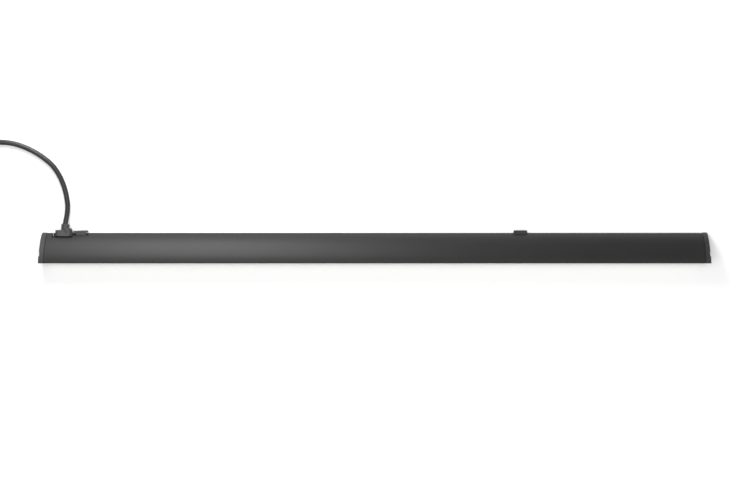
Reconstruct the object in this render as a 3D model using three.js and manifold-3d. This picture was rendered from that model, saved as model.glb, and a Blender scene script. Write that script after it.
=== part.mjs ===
import * as THREE from 'three';
import { mergeVertices } from 'three/addons/utils/BufferGeometryUtils.js';
import Module from 'manifold-3d';

// A slim light bar in millimetres, lying on its mounting face.
// X runs along the bar, +Y is the cord side, -Y is the light side, +Z leaves the mounting face.
// "Rel" values are distances across the section, from the light edge towards the cord edge.

// Driving dimensions
const gap = 0.3;
const barLength = 900;
const sectionWidth = 41.7;
const sectionHeight = 32;
const wall = 1.6;
const webRel = 12;
const recessDepth = 2.4;
const floorThickness = 1.4;
const lipThickness = 1.8;

const capThickness = 6.6;
const capWall = 2;
const capPocketDepth = 3.6;
const capStep = 0.3;
const capGrooveDepth = 0.9;
const capGrooveRel = [9.5, 15.2];
const gasketThickness = 0.6;
const gasketBorder = 2.4;

const lensProud = 1.8;
const lensThickness = 1.5;
const lensLegLength = 4.8;
const lensLegThickness = 1.2;
const lensBarb = 0.9;
const beadWidth = 1.1;

const screwShank = 2.6;
const screwHead = 5.4;
const screwHeadHeight = 1.9;
const capScrewLength = 18;
const boardScrewLength = 5;
const bossDiameter = 6;

const boardHeight = 12;
const boardThickness = 1.6;
const ledPitch = 18;
const ledSize = [3.5, 0.7, 2.8];

const driverLength = 180;
const driverWidth = 13.8;
const driverWall = 1;
const driverBoardThickness = 1.6;
const driverX = -235;

const notchX = -421;
const notchWidth = 27.2;
const notchRel = 34.5;
const glandX = -419.3;
const glandAxisZ = 7.4;
const glandHead = [22.9, 8.4, 11.6];
const glandChamfer = [3.3, 3.6];
const glandNeckWidth = 13;
const glandNeckLength = 6;
const collarDiameter = 11.2;
const collarAside = 1.6;
const collarLength = 8;
const collarLean = 3;
const collarStepDiameter = 13;
const collarStepAside = 4.1;
const collarStepLength = 2.4;
const cordLean = 9;
const entryWall = 1.4;
const entryFloor = 1.1;

const keyX = -396.3;
const keyLength = 21.1;
const keyThickness = 3.1;
const keyHeight = 3.4;
const keyDrop = 0.5;
const keyTilt = 2.5;
const keyChamfer = 1.6;
const keyPivotRel = 33;
const keyFrontRel = 44.2;
const stemWidth = 13;
const stemThickness = 1.6;
const hubDiameter = 5;
const pinDiameter = 2;
const switchBody = [18.4, 6.5, 6.6];
const earThickness = 1;

const clipX = 197;
const clipWidth = 17.6;
const clipBase = 1.9;
const clipProud = 2.8;
const clipLip = 2.3;
const clipHookReach = 1.5;
const clipHookHeight = 0.6;
const noseZ = 5.1;
const noseHeight = 1;
const noseReach = 0.6;
const clipScrewHole = 4.2;
const clipScrewHead = 8.4;

const wireDiameter = 2.2;
const wirePitch = 3.6;
const leadDiameter = 1.6;
const terminalX = -366;
const terminalSize = [22, 11, 9];

const cordDiameter = 6.95;
const coilRadius = 38.2;
const coilLayers = 3;
const tailLength = 13;
const plugBody = [26, 36, 24];
const plugBootLength = 22;
const plugBootDiameter = 12;
const bladeSize = [6.3, 17, 1.6];
const bladeSpacing = 12.7;
const earthPinDiameter = 4.8;
const earthPinLength = 20.5;
const earthPinDrop = 11.9;

// The cord from the gland's collar to the coil, lying on the surface after its first bend.
const cordPoints = [
  [-417.6, 32.3, 7.4],
  [-416.6, 37.5, 7.2],
  [-415.5, 44.0, 6.5],
  [-414.9, 51.0, 5.2],
  [-415.0, 57.5, 4.1],
  [-415.8, 64.0, 3.6],
  [-417.9, 74.7, 3.5],
  [-421.0, 85.1, 3.5],
  [-425.2, 95.0, 3.5],
  [-430.7, 104.3, 3.5],
  [-437.6, 112.7, 3.5],
  [-445.9, 119.7, 3.5],
  [-454.8, 125.9, 3.5],
  [-464.3, 131.2, 3.5],
  [-474.1, 135.7, 3.5],
  [-484.4, 139.2, 3.5],
  [-495.0, 141.4, 3.5],
  [-505.8, 142.2, 3.5],
  [-519.0, 142.3, 3.5],
  [-533.0, 142.3, 3.5],
];

// Places worked out from the driving dimensions
const radians = THREE.MathUtils.degToRad;
const keyTipRel = keyPivotRel + (keyFrontRel - keyPivotRel) * Math.cos(radians(keyTilt))
  + (keyLength / 2 - keyChamfer) * Math.sin(radians(keyTilt));
const lightEdge = -(keyTipRel - lensProud) / 2;
const cordEdge = lightEdge + sectionWidth;
const housingEnd = barLength / 2 - capThickness - gasketThickness - 2 * gap;
const capInner = barLength / 2 - capThickness;
const webFront = lightEdge + webRel;
const webBack = webFront + wall;
const tunnelFloor = recessDepth + floorThickness;
const bossRadius = bossDiameter / 2;
const screwHole = screwShank / 2 + gap;
const lowerBoss = [webFront - bossRadius + 0.2, lipThickness + bossRadius + 0.6];
const upperBoss = [webBack + bossRadius - 0.4, frontHeight(webBack + bossRadius, wall) - bossRadius + 0.4];
const beadRel = lensThickness + gap + 0.1;
const beyond = 20;
const frontSteps = 40;

// The coil's turns lie in two columns, and the cord runs onto the outer one.
const cordEnd = cordPoints[cordPoints.length - 1];
const outerColumn = coilRadius + cordDiameter / 2;
const coilInner = coilRadius - cordDiameter;
const coilOuter = coilRadius + cordDiameter;
const coilHeight = coilLayers * cordDiameter;
const coilChord = Math.sqrt(coilOuter ** 2 - coilRadius ** 2) + 2 * gap;
const coilCentre = [cordEnd[0] - coilChord, cordEnd[1] - outerColumn];

const wasm = await Module();
wasm.setup();

function material(color, roughness, metalness) {
  return new THREE.MeshStandardMaterial({ color, roughness, metalness });
}

const blackPaint = () => material(0x2b2b2a, 0.42, 0.2);
const blackPlastic = () => material(0x1c1c1c, 0.5, 0);
const blackRubber = () => material(0x161616, 0.6, 0);
const opal = () => material(0xe9e8e4, 0.45, 0);
const steel = () => material(0xa9adb0, 0.35, 1);
const brass = () => material(0xb8974f, 0.35, 1);
const whitePlastic = () => material(0xe4e2dc, 0.5, 0);
const boardWhite = () => material(0xdedfd9, 0.5, 0.1);
const boardGreen = () => material(0x2d5a3a, 0.5, 0.1);

// Turns a closed geometry into a solid that can be joined and cut.
function solidOf(geometry) {
  const bare = geometry.clone();
  bare.deleteAttribute('normal');
  bare.deleteAttribute('uv');
  const merged = mergeVertices(bare, 1e-4);
  const vertProperties = new Float32Array(merged.attributes.position.array);
  const triVerts = new Uint32Array(merged.index.array);
  return new wasm.Manifold(new wasm.Mesh({ numProp: 3, vertProperties, triVerts }));
}

function geometryOf(solid) {
  const cut = solid.getMesh();
  const geometry = new THREE.BufferGeometry();
  geometry.setAttribute('position', new THREE.BufferAttribute(cut.vertProperties, 3));
  geometry.setIndex(new THREE.BufferAttribute(cut.triVerts, 1));
  return geometry;
}

function joined(...solids) {
  return solids.reduce((sum, next) => sum.add(next));
}

function without(solid, ...cuts) {
  return cuts.reduce((rest, cut) => rest.subtract(cut), solid);
}

// A block between two corners.
function block(x, y, z) {
  const geometry = new THREE.BoxGeometry(x[1] - x[0], y[1] - y[0], z[1] - z[0]);
  geometry.translate((x[0] + x[1]) / 2, (y[0] + y[1]) / 2, (z[0] + z[1]) / 2);
  return solidOf(geometry);
}

function around(centre, size) {
  return [centre - size / 2, centre + size / 2];
}

// An outline drawn in Y and Z, swept along X.
function prism(outline, x) {
  const geometry = new THREE.ExtrudeGeometry(outline, {
    depth: x[1] - x[0],
    bevelEnabled: false,
    curveSegments: 12,
  });
  const along = new THREE.Matrix4().makeBasis(
    new THREE.Vector3(0, 1, 0),
    new THREE.Vector3(0, 0, 1),
    new THREE.Vector3(1, 0, 0),
  );
  geometry.applyMatrix4(along);
  geometry.translate(x[0], 0, 0);
  return solidOf(geometry);
}

// A round bar along one axis: start and end along it, and the two other coordinates in order.
function bar(axis, diameter, span, centre, sides = 16) {
  const geometry = new THREE.CylinderGeometry(diameter / 2, diameter / 2, span[1] - span[0], sides);
  const middle = (span[0] + span[1]) / 2;
  if (axis === 'x') {
    geometry.rotateZ(Math.PI / 2);
    geometry.translate(middle, centre[0], centre[1]);
  } else if (axis === 'y') {
    geometry.translate(centre[0], middle, centre[1]);
  } else {
    geometry.rotateX(Math.PI / 2);
    geometry.translate(centre[0], centre[1], middle);
  }
  return solidOf(geometry);
}

// A closed outline turned about the Z axis.
function turned(profile, sides) {
  const points = profile.map(([radius, height]) => new THREE.Vector2(radius, height));
  const geometry = new THREE.LatheGeometry(points, sides);
  geometry.rotateX(Math.PI / 2);
  return geometry;
}

// A round tube along a smooth line through the given points.
function tube(points, diameter, sides, steps) {
  const path = new THREE.CatmullRomCurve3(points.map((p) => new THREE.Vector3(...p)));
  const section = new THREE.Shape();
  for (let i = 0; i < sides; i += 1) {
    const angle = (i / sides) * 2 * Math.PI;
    const corner = [Math.cos(angle) * diameter / 2, Math.sin(angle) * diameter / 2];
    if (i === 0) {
      section.moveTo(...corner);
    } else {
      section.lineTo(...corner);
    }
  }
  return new THREE.ExtrudeGeometry(section, { steps, bevelEnabled: false, extrudePath: path });
}

// The curved front, from the cord edge at the mounting face up to the light edge.
function frontCurve() {
  const across = (share) => lightEdge + share * sectionWidth;
  return new THREE.CubicBezierCurve(
    new THREE.Vector2(across(1), 0),
    new THREE.Vector2(across(0.927), 0.44 * sectionHeight),
    new THREE.Vector2(across(0.39), 0.922 * sectionHeight),
    new THREE.Vector2(across(0), sectionHeight),
  );
}

// A point of the front, moved into the section by the inset.
function frontPoint(share, inset) {
  const curve = frontCurve();
  const point = curve.getPoint(share);
  const tangent = curve.getTangent(share);
  return new THREE.Vector2(point.x - tangent.y * inset, point.y + tangent.x * inset);
}

// The height of the inset front above a place across the section.
function frontHeight(y, inset) {
  let low = 0;
  let high = 1;
  for (let i = 0; i < 40; i += 1) {
    const middle = (low + high) / 2;
    if (frontPoint(middle, inset).x > y) {
      low = middle;
    } else {
      high = middle;
    }
  }
  return frontPoint(low, inset).y;
}

// Where the inset front passes a height, across the section.
function frontAcross(z, inset = 0) {
  let low = 0;
  let high = 1;
  for (let i = 0; i < 40; i += 1) {
    const middle = (low + high) / 2;
    if (frontPoint(middle, inset).y < z) {
      low = middle;
    } else {
      high = middle;
    }
  }
  return frontPoint(low, inset).x;
}

// The section's outline, inset all round, or run out past the light edge and the mounting face.
function sectionOutline(inset, open = false) {
  const low = open ? -beyond : inset;
  const left = open ? lightEdge - beyond : lightEdge + inset;
  const outline = new THREE.Shape();
  outline.moveTo(left, low);
  outline.lineTo(frontAcross(low, inset), low);
  for (let i = 0; i <= frontSteps; i += 1) {
    const point = frontPoint(i / frontSteps, inset);
    if (point.y > low + 0.1 && point.x > left + 0.1) {
      outline.lineTo(point.x, point.y);
    }
  }
  outline.lineTo(left, frontHeight(left, inset));
  outline.closePath();
  return outline;
}

function housing() {
  const along = [-housingEnd, housingEnd];
  const inside = prism(sectionOutline(wall, true), along.map((x) => x * 1.01));
  const everyX = along.map((x) => x * 1.02);
  const aboveFloor = [tunnelFloor, sectionHeight + beyond];
  const chamber = inside.intersect(
    block(everyX, [lightEdge - beyond / 2, webFront], [lipThickness, sectionHeight + beyond]),
  );
  const tunnel = inside.intersect(block(everyX, [webBack, cordEdge + beyond], aboveFloor));
  const recess = block(everyX, [webFront, cordEdge + beyond], [-beyond, recessDepth]);
  const shell = without(prism(sectionOutline(0), along), chamber, tunnel, recess);

  const foot = block(along, [webFront - clipHookReach - 2, webBack], [gap, tunnelFloor]);
  const beadY = [lightEdge + beadRel, lightEdge + beadRel + beadWidth];
  const [lowLeg, highLeg] = lensLegs();
  const bead = block(along, beadY, [lipThickness - 1, lowLeg - gap]);
  const topBead = block(along, beadY, [highLeg + gap, sectionHeight - 1]);
  const bosses = [lowerBoss, upperBoss].map((place) => bar('x', bossDiameter, along, place, 16));
  const full = joined(shell, foot.subtract(recess), bead, topBead, ...bosses);

  const bossHoles = [lowerBoss, upperBoss].map((place) => bar('x', 2 * screwHole, everyX, place, 12));
  const hookGroove = block(
    everyX,
    [webFront - clipHookReach - gap, webFront + gap],
    [hookZ() - gap, hookZ() + clipHookHeight + gap],
  );
  const flank = frontAcross(noseZ);
  const noseRoom = around(noseZ, noseHeight + 2 * gap);
  const noseGroove = block(everyX, [flank - noseReach, flank + beyond], noseRoom);
  const notch = block(around(notchX, notchWidth), [lightEdge + notchRel, cordEdge + beyond], [-beyond, 60]);
  const keyWindow = block(
    around(keyX, stemWidth + 4),
    [lightEdge + keyPivotRel + hubDiameter / 2, cordEdge + beyond],
    [tunnelFloor, stemZ()[1] + 0.7],
  );
  const boardHoles = boardScrewPlaces().map((x) => bar('y', 2 * screwHole, webSpan(), [x, boardZ()], 12));
  const leadHole = bar('y', leadHoleDiameter(), webSpan(), [leadX(), boardZ()], 16);
  const earthHole = bar('z', 2 * screwHole, [recessDepth - 1, tunnelFloor + 1], earthPlace(), 12);
  const holes = [...bossHoles, ...boardHoles, leadHole, earthHole];
  return without(full, hookGroove, noseGroove, notch, keyWindow, ...holes);
}

function webSpan() {
  return [webFront - 1, webBack + 1];
}

function boardZ() {
  return lowerBoss[1] + bossRadius + 1 + boardHeight / 2;
}

function boardScrewPlaces() {
  const reach = boardLength();
  return [-reach + 12, -24, 24, reach - 12];
}

function boardLength() {
  return housingEnd - 2;
}

function leadHoleDiameter() {
  return 2 * leadDiameter + 4 * gap;
}

function leadX() {
  return driverX + driverLength / 2 + 14;
}

function earthPlace() {
  return [terminalX + terminalSize[0] / 2 + 9, webBack + 8];
}

// An end cap: a moulded plate with a pocket behind it, a shallow groove across its face
// and a slightly prouder band at the light side. side is 1 for the right end and -1 for the left.
function endCap(side) {
  const span = (near, far) => (side > 0 ? [near, far] : [-far, -near]);
  const end = barLength / 2;
  const body = prism(sectionOutline(0), span(capInner, end));
  const pocket = prism(sectionOutline(capWall), span(capInner - 1, capInner + capPocketDepth));
  const posts = [lowerBoss, upperBoss].map((place) => (
    bar('x', screwHead + 2, span(capInner, end - capStep), place, 20)
  ));
  const grooveY = capGrooveRel.map((rel) => lightEdge + rel);
  const groove = block(span(end - capGrooveDepth, end + 1), grooveY, [-beyond, sectionHeight + beyond]);
  const step = block(
    span(end - capStep, end + 1),
    [grooveY[1] - 0.1, cordEdge + beyond],
    [-beyond, sectionHeight + beyond],
  );
  const holes = [lowerBoss, upperBoss].map((place) => (
    bar('x', 2 * screwHole, span(capInner - 1, end + 1), place, 16)
  ));
  const heads = [lowerBoss, upperBoss].map((place) => (
    bar('x', screwHead + 2 * gap, span(capHeadX(), end + 1), place, 20)
  ));
  const outside = prism(sectionOutline(0), span(capInner, end));
  const plate = joined(without(body, pocket), ...posts).intersect(outside);
  return without(plate, groove, step, ...holes, ...heads);
}

// The inner face of the counterbore that takes a cap screw's head.
function capHeadX() {
  return barLength / 2 - capGrooveDepth - screwHeadHeight - gap;
}

function endGasket(side) {
  const near = housingEnd + gap;
  const span = (low, high) => (side > 0 ? [low, high] : [-high, -low]);
  const sheet = prism(sectionOutline(0.6), span(near, near + gasketThickness));
  const window = prism(sectionOutline(gasketBorder), span(near - 1, near + gasketThickness + 1));
  const rings = [lowerBoss, upperBoss].map((place) => (
    bar('x', bossDiameter, span(near, near + gasketThickness), place, 16)
  ));
  const spine = block(
    span(near, near + gasketThickness),
    [webFront - 0.5, webBack + 0.5],
    [lipThickness, frontHeight(webBack, wall)],
  );
  const holes = [lowerBoss, upperBoss].map((place) => (
    bar('x', 2 * screwHole, span(near - 1, near + 2), place, 12)
  ));
  return without(joined(without(sheet, window), spine, ...rings), ...holes);
}

// A pan-head screw with a socket, pointing along -Z from the underside of its head.
function screwGeometry(length) {
  const shank = screwShank / 2;
  const head = screwHead / 2;
  const socket = shank * 0.85;
  return turned([
    [0, -length],
    [shank * 0.6, -length],
    [shank, -length + 1],
    [shank, 0],
    [head, 0],
    [head, screwHeadHeight * 0.6],
    [head * 0.8, screwHeadHeight],
    [socket, screwHeadHeight],
    [socket, screwHeadHeight * 0.4],
    [0, screwHeadHeight * 0.4],
  ], 16);
}

// The outer faces of the lens's two legs, lower and upper.
function lensLegs() {
  const room = frontHeight(lightEdge + lensLegLength, wall);
  return [lipThickness + lensBarb + 2 * gap, room - lensBarb - gap];
}

// The opal lens bows out between the housing's lips and clips in on two legs.
function lens() {
  const along = [-housingEnd, housingEnd];
  const low = lipThickness + gap;
  const high = frontHeight(lightEdge + beadRel, wall) - gap;
  const half = (high - low) / 2;
  const radius = (half * half + lensProud * lensProud) / (2 * lensProud);
  const angle = Math.asin(half / radius);
  const centre = [lightEdge - lensProud + radius, low + half];
  const inner = radius - lensThickness;
  const innerAngle = Math.asin(half / inner);
  const bow = new THREE.Shape();
  bow.absarc(centre[0], centre[1], radius, Math.PI - angle, Math.PI + angle, false);
  bow.absarc(centre[0], centre[1], inner, Math.PI + innerAngle, Math.PI - innerAngle, true);
  bow.closePath();
  const legY = [lightEdge + 0.4, lightEdge + lensLegLength];
  const barbY = [lightEdge + beadRel + beadWidth + gap, lightEdge + lensLegLength];
  const [lowLeg, highLeg] = lensLegs();
  return joined(
    prism(bow, along),
    block(along, legY, [lowLeg, lowLeg + lensLegThickness]),
    block(along, barbY, [lowLeg - lensBarb, lowLeg + 0.1]),
    block(along, legY, [highLeg - lensLegThickness, highLeg]),
    block(along, barbY, [highLeg - 0.1, highLeg + lensBarb]),
  );
}

// One half of the light engine, with its row of LEDs.
function ledBoard(side) {
  const reach = boardLength();
  const x = side > 0 ? [gap, reach] : [-reach, -gap];
  const back = webFront - gap;
  const z = around(boardZ(), boardHeight);
  let solid = block(x, [back - boardThickness, back], z);
  const count = Math.floor((reach - 12) / ledPitch);
  for (let i = 0; i < count; i += 1) {
    const ledX = side * (ledPitch / 2 + i * ledPitch + 3);
    const clear = boardHolePlaces().every((hole) => Math.abs(hole - ledX) > ledSize[0] / 2 + screwHead);
    if (clear) {
      const front = back - boardThickness;
      const depth = [front - ledSize[1], front + 0.1];
      solid = solid.add(block(around(ledX, ledSize[0]), depth, around(boardZ(), ledSize[2])));
    }
  }
  const spans = [back - boardThickness - 1, back + 1];
  const screws = boardScrewPlaces().map((place) => bar('y', 2 * screwHole, spans, [place, boardZ()], 12));
  const lead = bar('y', leadHoleDiameter(), spans, [leadX(), boardZ()], 16);
  return without(solid, ...screws, lead);
}

function boardHolePlaces() {
  return [...boardScrewPlaces(), leadX()];
}

// The connector that joins the two boards.
function boardLink() {
  const back = webFront - gap - boardThickness - gap;
  const body = block([-7, 7], [back - 2.6, back], around(boardZ(), 5));
  const slot = block([-5, 5], [back - 3, back - 1.6], around(boardZ(), 2));
  return body.subtract(slot);
}

// The driver fills the room between the tunnel's floor and the front's inner side.
function driverPlace() {
  const y = [webBack + gap, webBack + gap + driverWidth];
  const z = [tunnelFloor + gap, frontHeight(y[1], wall) - 2 * gap];
  return { x: around(driverX, driverLength), y, z };
}

function driverTray() {
  const { x, y, z } = driverPlace();
  const top = z[1] - driverWall - gap;
  const hollow = block(
    [x[0] + driverWall, x[1] - driverWall],
    [y[0] + driverWall, y[1] - driverWall],
    [z[0] + driverWall, z[1] + 1],
  );
  const leadGap = block([x[1] - 2, x[1] + 1], around((y[0] + y[1]) / 2, 6), [z[0] + 4, z[1] + 1]);
  const mainsGap = block([x[0] - 1, x[0] + 2], around((y[0] + y[1]) / 2, 6), [z[0] + 4, z[1] + 1]);
  return without(block(x, y, [z[0], top]), hollow, leadGap, mainsGap);
}

function driverCover() {
  const { x, y, z } = driverPlace();
  const plate = block(x, y, [z[1] - driverWall, z[1]]);
  const rim = driverWall + gap;
  const inner = [[x[0] + rim, x[1] - rim], [y[0] + rim, y[1] - rim]];
  const skirt = block(inner[0], inner[1], [z[1] - driverWall - 1.2, z[1] - driverWall + 0.1]);
  const hollow = block(
    [inner[0][0] + 1, inner[0][1] - 1],
    [inner[1][0] + 1, inner[1][1] - 1],
    [z[1] - driverWall - 2, z[1] - driverWall],
  );
  return plate.add(skirt.subtract(hollow));
}

// The driver's circuit board with its transformer, capacitors and coil standing on it.
function driverBoard() {
  const { x, y, z } = driverPlace();
  const low = z[0] + driverWall + gap;
  const top = low + driverBoardThickness;
  const inset = driverWall + gap;
  const room = z[1] - driverWall - 2 - gap;
  const middle = (y[0] + y[1]) / 2;
  const plate = block([x[0] + inset, x[1] - inset], [y[0] + inset, y[1] - inset], [low, top]);
  const transformer = block(around(driverX + 10, 18), around(middle, 9), [top - 0.1, room]);
  const choke = block(around(driverX - 40, 12), around(middle, 8), [top - 0.1, room - 1]);
  const capacitors = [-66, -18, 48, 62].map((along) => (
    bar('z', 6, [top - 0.1, room - 0.6], [driverX + along, middle], 16)
  ));
  return joined(plate, transformer, choke, ...capacitors);
}

function terminalBlock() {
  const y = [webBack + gap, webBack + gap + terminalSize[1]];
  const z = [tunnelFloor + gap, tunnelFloor + gap + terminalSize[2]];
  const x = around(terminalX, terminalSize[0]);
  const pockets = [-1, 0, 1].map((i) => (
    bar('z', 3.4, [z[1] - 4, z[1] + 1], [terminalX + i * 6.6, (y[0] + y[1]) / 2], 12)
  ));
  return without(block(x, y, z), ...pockets);
}

// The flat neck's two faces, between the tunnel's floor and the front's inner side.
function neckZ() {
  return [tunnelFloor + 3 * gap, frontHeight(lightEdge + notchRel, wall) - gap];
}

function neckMiddle() {
  const [low, high] = neckZ();
  return (low + high) / 2;
}

// The moulded block that closes the housing's notch and carries the gland.
function entryBlock() {
  const x = around(notchX, notchWidth - 2 * gap);
  const rel = (value) => lightEdge + value;
  const near = rel(notchRel) + gap;
  const far = near + entryWall;
  const top = frontHeight(far, 0) - 0.2;
  const plate = block(x, [near, far], [0.2, top]);
  const floor = block(x, [near, cordEdge - 0.7], [0.2, 0.2 + entryFloor]);
  const hookTop = frontHeight(near, wall) - gap;
  const hooks = [-1, 1].map((side) => (
    block(around(glandX + side * 9.5, 2.2), [near - 4, near + 0.1], [tunnelFloor + gap, hookTop - 0.6])
  ));
  const [neckLow, neckHigh] = neckZ();
  const opening = block(
    around(glandX, glandNeckWidth + 2 * gap),
    [near - 1, far + 1],
    [neckLow - gap, neckHigh + gap],
  );
  return without(joined(plate, floor, ...hooks), opening);
}

// The gland: a chamfered head, a stepped round collar and a flat neck held inside the block.
function gland() {
  const headNear = lightEdge + notchRel + gap + entryWall + gap;
  const headFar = headNear + glandHead[1];
  const half = [glandHead[0] / 2, glandHead[2] / 2];
  const outline = new THREE.Shape();
  outline.moveTo(-half[0] + glandChamfer[0], -half[1]);
  outline.lineTo(half[0] - glandChamfer[0], -half[1]);
  outline.lineTo(half[0], -half[1] + glandChamfer[1]);
  outline.lineTo(half[0], half[1] - glandChamfer[1]);
  outline.lineTo(half[0] - glandChamfer[0], half[1]);
  outline.lineTo(-half[0] + glandChamfer[0], half[1]);
  outline.lineTo(-half[0], half[1] - glandChamfer[1]);
  outline.lineTo(-half[0], -half[1] + glandChamfer[1]);
  outline.closePath();
  const headGeometry = new THREE.ExtrudeGeometry(outline, { depth: glandHead[1], bevelEnabled: false });
  headGeometry.rotateX(Math.PI / 2);
  headGeometry.translate(glandX, headFar, glandAxisZ);
  const collarEnd = headFar + collarLength;
  const leaning = (diameter, span, lean, aside, sides) => {
    const geometry = new THREE.CylinderGeometry(diameter / 2, diameter / 2, span[1] - span[0], sides);
    geometry.translate(0, (span[0] + span[1]) / 2 - headFar, 0);
    geometry.rotateZ(-radians(lean));
    geometry.translate(glandX + aside, headFar, glandAxisZ);
    return solidOf(geometry);
  };
  const inHead = headFar - 3;
  const step = leaning(collarStepDiameter, [inHead, headFar + collarStepLength], 0, collarStepAside, 28);
  const collar = leaning(collarDiameter, [inHead, collarEnd], collarLean, collarAside, 28);
  const neck = block(around(glandX, glandNeckWidth), [headNear - glandNeckLength, headNear + 0.1], neckZ());
  const bore = leaning(cordDiameter + 2 * gap, [headFar - 4, collarEnd + 1], cordLean, 0, 20);
  const wireSpan = [headNear - glandNeckLength - 1, headFar];
  const wireWays = [-1, 0, 1].map((i) => (
    bar('y', wireDiameter + 2 * gap, wireSpan, [glandX + i * wirePitch, neckMiddle()], 12)
  ));
  return without(joined(solidOf(headGeometry), step, collar, neck), bore, ...wireWays);
}

function stemZ() {
  const low = tunnelFloor + gap + earThickness + gap;
  return [low, low + stemThickness];
}

// The rocker key, drawn square to the bar and tilted about its pin by its mesh.
function switchKey() {
  const pivotY = keyPivotRel;
  const stem = stemZ();
  const middle = (stem[0] + stem[1]) / 2;
  const front = keyFrontRel - pivotY;
  const finger = new THREE.Shape();
  finger.moveTo(-keyLength / 2, front - keyThickness);
  finger.lineTo(keyLength / 2, front - keyThickness);
  finger.lineTo(keyLength / 2 - keyChamfer, front);
  finger.lineTo(-keyLength / 2 + 0.6, front);
  finger.closePath();
  const geometry = new THREE.ExtrudeGeometry(finger, { depth: keyHeight, bevelEnabled: false });
  geometry.translate(0, 0, middle - keyHeight / 2 - keyDrop);
  const plate = block(around(0, stemWidth), [0, front - keyThickness + 0.1], stem);
  const hub = bar('z', hubDiameter, stem, [0, 0], 20);
  const hole = bar('z', pinDiameter + 2 * gap, [stem[0] - 1, stem[1] + 1], [0, 0], 16);
  return without(joined(solidOf(geometry), plate, hub), hole);
}

// The switch's body, with two ears that hold the key's pin.
function switchCase() {
  const pivotY = lightEdge + keyPivotRel;
  const back = [pivotY - hubDiameter / 2 - gap - switchBody[1], pivotY - hubDiameter / 2 - gap];
  const low = tunnelFloor + gap;
  const stem = stemZ();
  const body = block(around(keyX, switchBody[0]), back, [low, low + switchBody[2]]);
  const earSpan = [back[1] - 0.1, pivotY + 1.7];
  const lowerEar = block(around(keyX, 8), earSpan, [low, low + earThickness]);
  const upperEar = block(around(keyX, 8), earSpan, [stem[1] + gap, stem[1] + gap + earThickness]);
  const pinHoles = bar('z', pinDiameter + 2 * gap, [0, 20], [keyX, pivotY], 16);
  const tabs = [-1, 1].map((i) => (
    block(around(keyX + i * 5, 0.8), [back[0] - 3, back[0] + 0.1], around(low + switchBody[2] / 2, 3))
  ));
  return without(joined(body, lowerEar, upperEar, ...tabs), pinHoles);
}

function keyPin() {
  const low = tunnelFloor + gap;
  const high = stemZ()[1] + gap + earThickness;
  return bar('z', pinDiameter, [low, high], [keyX, lightEdge + keyPivotRel], 16);
}

function hookZ() {
  return recessDepth - gap - clipHookHeight - 0.6;
}

// The clip lies in the housing's recess, hooks under its land and snaps over its cord edge.
function mountingClip() {
  const x = around(clipX, clipWidth);
  const top = recessDepth - gap;
  const low = top - clipBase;
  const lipOuter = cordEdge + clipProud;
  const lipInner = lipOuter - clipLip;
  const flank = frontAcross(noseZ);
  const base = block(x, [webFront + gap, lipOuter], [low, top]);
  const hook = block(
    x,
    [webFront - clipHookReach, webFront + gap + 0.1],
    [hookZ(), hookZ() + clipHookHeight],
  );
  const lip = block(x, [lipInner, lipOuter], [low, noseZ + noseHeight / 2]);
  const nose = block(x, [flank - noseReach + gap, lipInner + 0.1], around(noseZ, noseHeight));
  const middle = [clipX, (webFront + cordEdge) / 2];
  const hole = bar('z', clipScrewHole, [low - 1, top + 1], middle, 20);
  const sink = new THREE.CylinderGeometry(clipScrewHead / 2, clipScrewHole / 2, clipBase * 0.8, 20);
  sink.rotateX(Math.PI / 2);
  sink.translate(middle[0], middle[1], top - clipBase * 0.4 + 0.01);
  return without(joined(base, hook, lip, nose), hole, solidOf(sink));
}

function plugPlace() {
  const x = coilCentre[0] - outerColumn;
  const bootEnd = coilCentre[1] - coilChord - tailLength;
  return { x, bootEnd, bodyTop: bootEnd - plugBootLength, face: bootEnd - plugBootLength - plugBody[1] };
}

// The moulded plug, narrowing to the cord, with slots for its blades and earth pin.
function plugMoulding() {
  const { x, bootEnd, bodyTop, face } = plugPlace();
  const half = [plugBody[0] / 2, plugBody[2] / 2];
  const outline = new THREE.Shape();
  outline.moveTo(x - half[0], face);
  outline.lineTo(x + half[0], face);
  outline.lineTo(x + half[0], bodyTop - 12);
  outline.quadraticCurveTo(x + half[0], bodyTop, x + plugBootDiameter / 2, bodyTop);
  outline.lineTo(x - plugBootDiameter / 2, bodyTop);
  outline.quadraticCurveTo(x - half[0], bodyTop, x - half[0], bodyTop - 12);
  outline.closePath();
  const geometry = new THREE.ExtrudeGeometry(outline, {
    depth: plugBody[2],
    bevelEnabled: false,
    curveSegments: 6,
  });
  const boot = new THREE.CylinderGeometry(
    cordDiameter / 2 + 1.2,
    plugBootDiameter / 2,
    plugBootLength + 0.1,
    20,
  );
  boot.translate(x, bootEnd - plugBootLength / 2, half[1]);
  const bore = bar('y', cordDiameter + 2 * gap, [bootEnd - 6, bootEnd + 1], [x, half[1]], 16);
  const slots = bladePlaces().map(([bx, bz]) => (
    block(around(bx, bladeSize[2] + 2 * gap), [face - 1, face + 6], around(bz, bladeSize[0] + 2 * gap))
  ));
  const [ex, ez] = earthPinPlace();
  const pinHole = bar('y', earthPinDiameter + 2 * gap, [face - 1, face + 6], [ex, ez], 16);
  return without(joined(solidOf(geometry), solidOf(boot)), bore, ...slots, pinHole);
}

function bladePlaces() {
  const { x } = plugPlace();
  return [-1, 1].map((side) => [x + side * bladeSpacing / 2, plugBody[2] / 2 + earthPinDrop / 3]);
}

function earthPinPlace() {
  const { x } = plugPlace();
  return [x, plugBody[2] / 2 - earthPinDrop * 2 / 3 + 1.2];
}

const model = new THREE.Group();

function place(name, geometry, finish) {
  const mesh = new THREE.Mesh(geometry, finish);
  mesh.name = name;
  model.add(mesh);
  return mesh;
}

function placeSolid(name, solid, finish) {
  return place(name, geometryOf(solid), finish);
}

placeSolid('housing', housing(), blackPaint());
placeSolid('lens', lens(), opal());

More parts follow.
